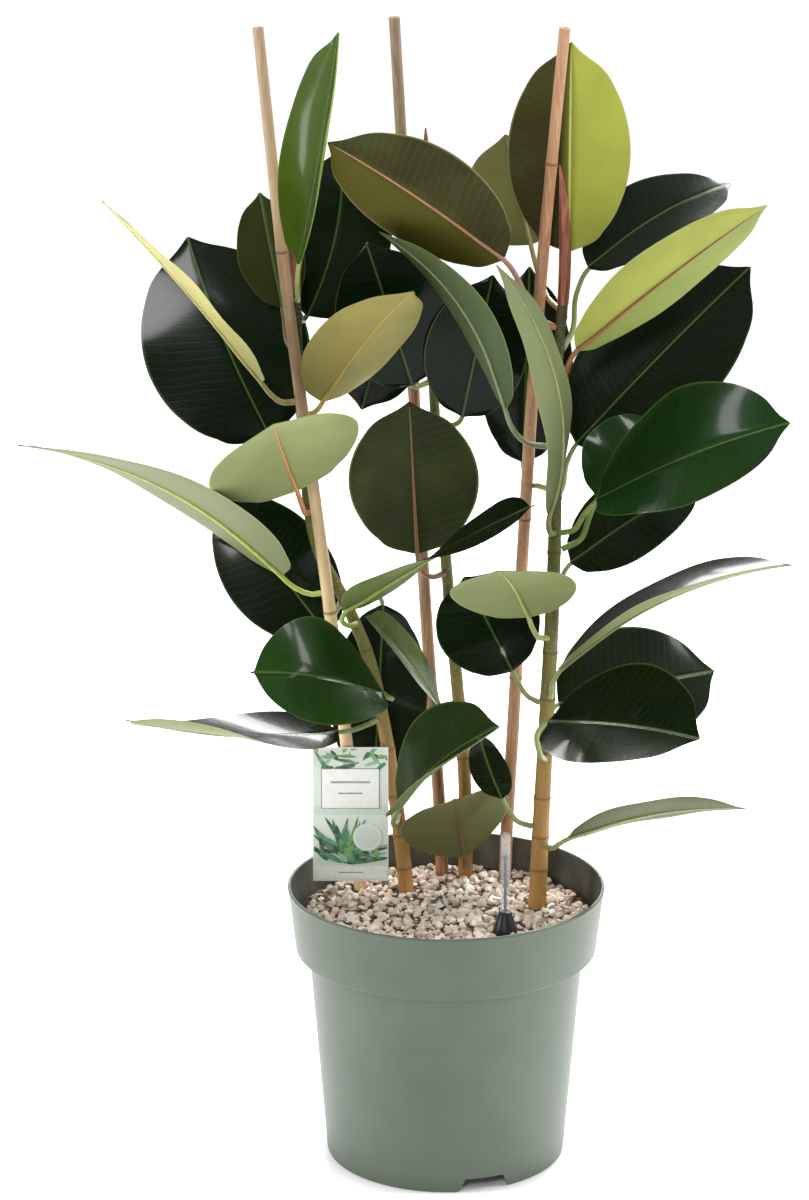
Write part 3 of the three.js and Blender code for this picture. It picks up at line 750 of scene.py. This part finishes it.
for face in bm.faces:
    centre = face.calc_center_median()
    out = Vector((centre.x, centre.y, 0)).normalized()
    inward = face.normal.dot(out) < -0.3 and centre.z > FLOOR + WALL
    face.material_index = 1 if inward and centre.z < TOP - 1.5 * MM else 0
pot = make_piece("pot_grown", bm, (sage, sage_inside), "sage_plastic", "pot")

# %% Notches and drain holes
FIRST_NOTCH = math.radians(-71.6)
NOTCH_FOOT_WIDE = 41 * MM
NOTCH_TOP_WIDE = 30 * MM
NOTCH_DEPTH = 30 * MM
NOTCH_MIDDLE = 5 * MM
NOTCH_TALL = 12 * MM
DRAIN_RADIUS = 4.5 * MM


def cutter(name, bm):
    mesh = bpy.data.meshes.new(name)
    bm.to_mesh(mesh)
    bm.free()
    tool = bpy.data.objects.new(name, mesh)
    scene.collection.objects.link(tool)
    return tool


bm = bmesh.new()
for turn in range(3):
    block = bmesh.ops.create_cube(bm, size=1)["verts"]
    for v in block:
        wide = NOTCH_FOOT_WIDE if v.co.z < 0 else NOTCH_TOP_WIDE
        height = NOTCH_MIDDLE + v.co.z * NOTCH_TALL
        v.co = Vector((FOOT + v.co.x * NOTCH_DEPTH, v.co.y * wide, height))
    spin = Matrix.Rotation(FIRST_NOTCH + turn * math.tau / 3, 4, "Z")
    bmesh.ops.transform(bm, matrix=spin, verts=block)
for turn in range(6):
    rod = bmesh.ops.create_cone(
        bm, cap_ends=True, segments=24, radius1=DRAIN_RADIUS, radius2=DRAIN_RADIUS, depth=9 * MM
    )["verts"]
    bmesh.ops.translate(bm, verts=rod, vec=((DISC + FOOT) / 2, 0, FLOOR + WALL / 2))
    spin = Matrix.Rotation(FIRST_NOTCH + math.radians(30) + turn * math.tau / 6, 4, "Z")
    bmesh.ops.transform(bm, matrix=spin, verts=rod)
tools = cutter("pot_cutters", bm)
cut = pot.modifiers.new("cut", "BOOLEAN")
cut.operation = "DIFFERENCE"
cut.solver = "EXACT"
cut.object = tools
graph = bpy.context.evaluated_depsgraph_get()
cut_mesh = bpy.data.meshes.new_from_object(pot.evaluated_get(graph))
pot.modifiers.clear()
pot.data = cut_mesh
bpy.data.objects.remove(tools)
print("pot has", len(pot.data.polygons), "faces")

# %% [markdown]
# ## Pumice and growing medium
# The top of the pot is dressed with pale pink-beige pumice, angular grains of six to nine
# millimetres. Each grain is the hull of a few scattered points, so it has flat broken faces
# and only a few dozen of them, and the grains are dropped on a jittered honeycomb in two
# layers. The solid below them stays, as the grains deeper down, painted darker than the top
# grains and dark brown between its cells: painted shade under and between the grains.

# %% Pumice finish
grain_stone = Finish("pumice grains", Roughness=0.9)
pores = grain_stone.noise(grain_stone.place(), 1300, 3)
shade = grain_stone.attribute("tone", "Color")
colour = grain_stone.blend(pores.step(0.52, 0.7) * 0.35, shade, tint(160, 142, 124))
grain_stone.wire(Base_Color=colour)
grain_stone.bump(pores, 0.0006)

deep_stone = Finish("pumice below", Roughness=0.95)
# The layer below is painted darker than the grains on top, and dark brown away from each cell's middle,
# painted shade in the gaps between grains.
cells = deep_stone.add("ShaderNodeTexVoronoi", {}, {"Vector": deep_stone.place(), "Scale": 150})
deep_stone.wire(
    Base_Color=deep_stone.ramp(cells, (0.1, tint(150, 126, 108)), (0.5, tint(64, 50, 40)))
)
deep_stone.bump(1 - cells, 0.002)
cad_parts["pumice_layer"].data.materials[0] = deep_stone.material

soil = Finish("potting mix", Roughness=0.95)
crumbs = soil.noise(soil.place(), 240, 5, 0.65)
soil.wire(Base_Color=soil.ramp(crumbs, (0.35, tint(36, 26, 18)), (0.7, tint(92, 68, 48))))
soil.bump(crumbs, 0.003)
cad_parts["growing_medium"].data.materials[0] = soil.material

# %% Pumice grains
GRAIN_SPACING = 6.2 * MM
GRAIN_STRETCH = ((0.8, 1.25), (0.75, 1.1), (0.6, 0.95))
GRAIN_CORNERS = 15
STONES = [tint(238, 226, 214), tint(228, 208, 194), tint(216, 192, 178), tint(244, 238, 228),
          tint(212, 198, 180), tint(232, 214, 198), tint(194, 176, 158)]
layer_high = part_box("pumice_layer")[1]
spread_radius = layer_high.x - 2.2 * MM
keep_clear = []
for node in ("cane_left", "cane_centre", "cane_right", "stem_left", "stem_centre", "stem_right"):
    rings = rings_of(node)
    centres = rings.mean(axis=1)
    heights = centres[:, 2]
    spot = [np.interp(layer_high.z, heights, centres[:, axis]) for axis in (0, 1)]
    keep_clear.append((Vector(spot), np.linalg.norm(rings[1][0] - centres[1])))
base_low, base_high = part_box("level_base")
base_centre = (base_low + base_high) / 2
keep_clear.append((base_centre.xy, (base_high.x - base_low.x) / 2))

dice = random.Random(7)
bm = new_bmesh()
tone = bm.verts.layers.float_color.new("tone")
grains = 0
for layer, lift in ((0, -1.6 * MM), (1, 1.5 * MM)):
    rows = int(spread_radius / GRAIN_SPACING * 1.3)
    for row in range(-rows, rows + 1):
        for column in range(-rows, rows + 1):
            x = (column + 0.5 * (row % 2) + dice.uniform(-0.34, 0.34) + 0.37 * layer) * GRAIN_SPACING
            y = (row * 0.87 + dice.uniform(-0.34, 0.34) + 0.3 * layer) * GRAIN_SPACING
            size = dice.triangular(2.7, 5.0, 3.6) * MM
            spot = Vector((x, y))
            if spot.length > spread_radius - size * 0.5 or (layer and dice.random() < 0.3):
                continue
            if any((spot - centre).length < radius + size * 0.55 for centre, radius in keep_clear):
                continue
            stretch = Vector([dice.uniform(*span) for span in GRAIN_STRETCH])
            turn = Matrix.Rotation(dice.uniform(0, math.tau), 3, "Z") @ Matrix.Rotation(
                dice.uniform(-0.5, 0.5), 3, "X"
            )
            shade = STONES[dice.randrange(len(STONES))]
            centre = Vector((x, y, layer_high.z + lift + dice.uniform(-1, 1) * MM))
            corners_of = []
            for _ in range(GRAIN_CORNERS):
                way = Vector([dice.gauss(0, 1) for _ in range(3)]).normalized()
                way = way * dice.uniform(0.85, 1.0)
                way = Vector([a * b for a, b in zip(way, stretch)])
                corner = bm.verts.new(centre + turn @ way * size)
                corner[tone] = (*shade, 1)
                corners_of.append(corner)
            hull = bmesh.ops.convex_hull(bm, input=corners_of)
            inside = [v for v in hull["geom_interior"] if isinstance(v, bmesh.types.BMVert)]
            bmesh.ops.delete(bm, geom=inside, context="VERTS")
            grains += 1
bmesh.ops.recalc_face_normals(bm, faces=bm.faces[:])
stones = make_piece("pumice_grains", bm, (grain_stone,), "pumice")
print("scattered", grains, "grains,", len(stones.data.polygons), "faces")

# %% [markdown]
# ## Level indicator
# A water-level indicator stands in the pumice at the front: a black foot, a clear tube with a
# domed top, and a dark float rod inside it. All three are turned shapes.

# %% Level indicator
gloss_black = Finish("black plastic", Roughness=0.34)
scuff = gloss_black.noise(gloss_black.place(), 300, 3)
gloss_black.wire(Base_Color=gloss_black.ramp(scuff, (0.3, tint(24, 26, 30)), (0.8, tint(46, 48, 54))))
gloss_black.bump(scuff, 0.0001)

clear = Finish("clear tube", Roughness=0.06, IOR=1.46, Base_Color=(0.86, 0.9, 0.93, 1))
clear.surface.inputs["Alpha"].default_value = 0.16

rod = Finish("float rod", Roughness=0.4)
rod_marks = rod.noise(rod.place(), 500, 2)
rod.wire(Base_Color=rod.ramp(rod_marks, (0.3, tint(30, 44, 66)), (0.8, tint(56, 74, 98))))

centre_x, centre_y = base_centre.x, base_centre.y
tube_low, tube_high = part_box("level_tube")
float_low, float_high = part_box("level_float")
foot_radius = (base_high.x - base_low.x) / 2
tube_radius = (tube_high.x - tube_low.x) / 2
deck = layer_high.z


def stand(bm):
    bmesh.ops.translate(bm, verts=bm.verts[:], vec=(centre_x, centre_y, 0))
    return bm


def round_profile(points, radius):
    smooth = [points[0]]
    for one, corner, two in zip(points, points[1:], points[2:]):
        smooth += rounded_corner(one, corner, two, radius, 3)
    return smooth + [points[-1]]


foot_outline = [
    (0, base_low.z), (5.5 * MM, base_low.z), (5.5 * MM, deck), (foot_radius, deck),
    (foot_radius, deck + 4 * MM), (foot_radius - 1 * MM, deck + 7 * MM),
    (tube_radius + 0.8 * MM, base_high.z - 1 * MM), (tube_radius + 0.8 * MM, base_high.z),
    (0, base_high.z),
]
bm = stand(turned(round_profile(foot_outline, 0.6 * MM), 40))
make_piece("level_foot", bm, (gloss_black,), "black_plastic", "level_base")
inner = tube_radius - 1 * MM
tube_outline = [
    (inner, tube_low.z), (tube_radius, tube_low.z), (tube_radius, tube_high.z - 3 * MM),
    (tube_radius * 0.6, tube_high.z), (0, tube_high.z),
]
tube_inner = [(0, tube_high.z - 1.2 * MM), (inner, tube_high.z - 4 * MM), (inner, tube_low.z)]
bm = stand(turned(round_profile(tube_outline, 0.4 * MM) + tube_inner, 32))
make_piece("level_glass", bm, (clear,), "clear_plastic", "level_tube")
float_radius = (float_high.x - float_low.x) / 2
float_outline = [
    (0, float_low.z), (1.2 * MM, float_low.z), (1.2 * MM, float_high.z - 5 * MM),
    (float_radius, float_high.z - 4 * MM), (float_radius, float_high.z), (0, float_high.z),
]
bm = stand(turned(round_profile(float_outline, 0.4 * MM), 20))
make_piece("level_rod", bm, (rod,), "float_plastic", "level_float")
print("level indicator stands at", round(centre_x, 3), round(centre_y, 3))

# %% [markdown]
# ## Tag
# A printed card hangs on the left cane by a white wire. Its print is kept generic: a strip of
# leaves along the top, a white panel with two plain rules, a spray of leaves below, a blank
# round badge and a white foot. Each printed shape is a thin flat piece a hair proud of the
# card, so it stays sharp at any distance. The card itself is the engineering solid.

# %% Tag finishes
card = Finish("white card", Roughness=0.35)
fibre = card.noise(card.place(), 700, 2)
card.wire(Base_Color=card.ramp(fibre, (0.3, tint(232, 238, 232)), (0.7, tint(244, 246, 242))))
card.bump(fibre, 0.00005)
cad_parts["tag"].data.materials[0] = card.material

ink = Finish("printed inks", Roughness=0.35)
ink_tone = ink.attribute("tone", "Color")
grain_ink = ink.noise(ink.place(), 220, 3)
ink.wire(Base_Color=ink.blend(grain_ink.step(0.35, 0.75) * 0.3, ink_tone, tint(214, 232, 214)))

white_wire = Finish("white coated wire", Roughness=0.4)
wire_marks = white_wire.noise(white_wire.place(), 600, 2)
white_wire.wire(
    Base_Color=white_wire.ramp(wire_marks, (0.3, tint(226, 226, 222)), (0.7, tint(246, 246, 244)))
)

# %% Tag print
tag_low, tag_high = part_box("tag")
tag_size = tag_high - tag_low
PRINT = 0.06 * MM

bm = new_bmesh()
tone = bm.verts.layers.float_color.new("tone")
layers_made = 0


def printed(verts, shade):
    """Sets printed points, laid out in x and z from 0 to 1 over the card, a hair proud of it."""
    global layers_made
    layers_made += 1
    for v in verts:
        v[tone] = (*shade, 1)
        x = min(0.985, max(0.015, v.co.x))
        z = min(0.99, max(0.01, v.co.z))
        v.co = Vector((
            tag_low.x + x * tag_size.x,
            tag_low.y - PRINT * (1 + 0.12 * layers_made),
            tag_low.z + z * tag_size.z,
        ))


def printed_block(x0, z0, x1, z1, shade):
    made = bmesh.ops.create_grid(bm, x_segments=1, y_segments=1, size=0.5)["verts"]
    for v in made:
        v.co = Vector((x0 + (v.co.x + 0.5) * (x1 - x0), 0, z0 + (v.co.y + 0.5) * (z1 - z0)))
    printed(made, shade)


def printed_disc(x, z, radius, shade):
    made = bmesh.ops.create_circle(bm, cap_ends=True, segments=32, radius=radius)["verts"]
    for v in made:
        v.co = Vector((x + v.co.x, 0, z + v.co.y * tag_size.x / tag_size.z))
    printed(made, shade)


def printed_leaf(x, z, length, width, turn, shade, bend=0.15):
    made = bmesh.ops.create_circle(bm, cap_ends=True, segments=14, radius=1)["verts"]
    for v in made:
        along = (v.co.x + 1) / 2
        across = v.co.y * width * (1 - along) ** 0.35 + bend * length * along * along
        px = math.cos(turn) * along * length - math.sin(turn) * across
        pz = math.sin(turn) * along * length + math.cos(turn) * across
        v.co = Vector((x + px, 0, z + pz * tag_size.x / tag_size.z))
    printed(made, shade)


INKS = [tint(34, 96, 66), tint(60, 132, 92), tint(92, 160, 112), tint(24, 70, 52), tint(120, 170, 90),
        tint(150, 196, 160)]
dice = random.Random(3)
printed_block(0.02, 0.02, 0.98, 0.98, tint(226, 236, 226))
for i in range(26):
    printed_leaf(dice.uniform(0.02, 0.98), dice.uniform(0.84, 0.98), dice.uniform(0.14, 0.3), 0.035,
                 dice.uniform(0, math.tau), INKS[dice.randrange(6)])
printed_block(0.02, 0.50, 0.98, 0.56, tint(206, 226, 212))
for i in range(34):
    turn = dice.uniform(0.05, math.pi - 0.05)
    printed_leaf(0.45 + dice.uniform(-0.06, 0.06), 0.16 + dice.uniform(-0.03, 0.05),
                 dice.uniform(0.34, 0.66), dice.uniform(0.03, 0.06), turn,
                 INKS[dice.randrange(6)], dice.uniform(-0.2, 0.2))
for i in range(12):
    printed_leaf(dice.uniform(0.05, 0.9), dice.uniform(0.12, 0.22), dice.uniform(0.15, 0.28), 0.04,
                 dice.uniform(0.2, 2.9), INKS[dice.randrange(6)])
printed_block(0.115, 0.545, 0.885, 0.845, tint(120, 118, 114))
printed_block(0.125, 0.55, 0.875, 0.84, tint(250, 250, 249))
printed_block(0.24, 0.735, 0.76, 0.75, tint(150, 146, 140))
printed_block(0.34, 0.655, 0.66, 0.665, tint(120, 116, 110))
printed_disc(0.72, 0.33, 0.19, tint(236, 242, 236))
printed_disc(0.72, 0.33, 0.15, tint(222, 232, 224))
printed_block(0.02, 0.02, 0.98, 0.115, tint(246, 248, 244))
printed_block(0.34, 0.062, 0.66, 0.07, tint(150, 160, 150))
bmesh.ops.recalc_face_normals(bm, faces=bm.faces[:])
facing_back = [f for f in bm.faces if f.normal.y > 0]
bmesh.ops.reverse_faces(bm, faces=facing_back)
make_piece("tag_print", bm, (ink,), "card")
print("the tag's print has", layers_made, "shapes")

# %% Tag tie
tie_low, tie_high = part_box("tag_tie")
tie_centre = (tie_low + tie_high) / 2
wire_radius = (tie_high.z - tie_low.z) / 2
tie_radius = (tie_high.x - tie_low.x) / 2 - wire_radius
bm = new_bmesh()
circle = bmesh.ops.create_circle(bm, segments=12, radius=wire_radius)["verts"]
stand_up = Matrix.Translation((tie_radius, 0, 0)) @ Matrix.Rotation(math.pi / 2, 4, "X")
bmesh.ops.transform(bm, matrix=stand_up, verts=circle)
bmesh.ops.spin(
    bm, geom=bm.verts[:] + bm.edges[:], cent=(0, 0, 0), axis=(0, 0, 1), angle=math.tau, steps=64,
    use_merge=True,
)
bmesh.ops.remove_doubles(bm, verts=bm.verts[:], dist=1e-6)
bmesh.ops.recalc_face_normals(bm, faces=bm.faces[:])
bmesh.ops.translate(bm, verts=bm.verts[:], vec=tie_centre)
make_piece("tie_wire", bm, (white_wire,), "wire", "tag_tie")

# %% [markdown]
# ## Floor and light
# The plant stands on a plain pale floor in a bright studio. Soft boxes above and behind give
# the lacquer on the upper leaves its white streaks, two tall ones at the sides draw the pot's
# edges, and one in front keeps the undersides open. The floor glows but for the pot's own foot,
# where the glow is cut off to paint a shadow under the pot and in its notches.

# %% Floor
floor_paint = Finish("pale floor", Roughness=0.7, Emission_Strength=0.7)
# Inside the pot's footprint the floor's glow falls to near black, a painted shadow under the pot.
from_pot = floor_paint.add(
    "ShaderNodeVectorMath", {"operation": "LENGTH"}, {0: floor_paint.place()}, output=1
)
floor_paint.wire(
    Emission_Color=floor_paint.blend(from_pot.step(0.075, 0.12), (0.02, 0.02, 0.02), (1, 1, 1))
)
floor_paint.wire(
    Base_Color=floor_paint.ramp(
        floor_paint.noise(floor_paint.place(), 3, 2), (0.3, (0.86, 0.86, 0.86)), (0.7, (0.9, 0.9, 0.9))
    )
)
bm = bmesh.new()
bmesh.ops.create_grid(bm, x_segments=1, y_segments=1, size=12)
floor_mesh = bpy.data.meshes.new("floor")
bm.to_mesh(floor_mesh)
bm.free()
floor_mesh.materials.append(floor_paint.material)
floor = bpy.data.objects.new("floor", floor_mesh)
scene.collection.objects.link(floor)


# %% Light
def soft_box(name, place, aim, width, height, power):
    light = bpy.data.lights.new(name, "AREA")
    light.shape = "RECTANGLE"
    light.size = width
    light.size_y = height
    light.energy = power
    lamp = bpy.data.objects.new(name, light)
    lamp.location = place
    lamp.rotation_euler = (Vector(aim) - Vector(place)).to_track_quat("-Z", "Y").to_euler()
    scene.collection.objects.link(lamp)


soft_box("ceiling", (0, 3.0, 5.0), (0, 3.0, 0), 14, 18, 260)
soft_box("overhead", (0.6, 0.9, 2.0), (0, 0, 0.4), 0.5, 0.5, 26)
soft_box("back", (0.3, 1.9, 1.6), (0, 0, 0.5), 1.5, 0.6, 60)
soft_box("left", (-2.0, -0.5, 1.1), (0, 0, 0.45), 0.25, 1.8, 24)
soft_box("right", (2.0, -0.2, 1.3), (0, 0, 0.45), 0.25, 1.8, 28)
soft_box("front", (-0.5, -3.4, 2.2), (0, 0, 0.4), 0.6, 0.6, 34)

world = bpy.data.worlds.new("studio")
world.use_nodes = True
world.node_tree.nodes["Background"].inputs["Color"].default_value = (1, 1, 1, 1)
world.node_tree.nodes["Background"].inputs["Strength"].default_value = 0.2
scene.world = world
scene.view_settings.view_transform = "Standard"
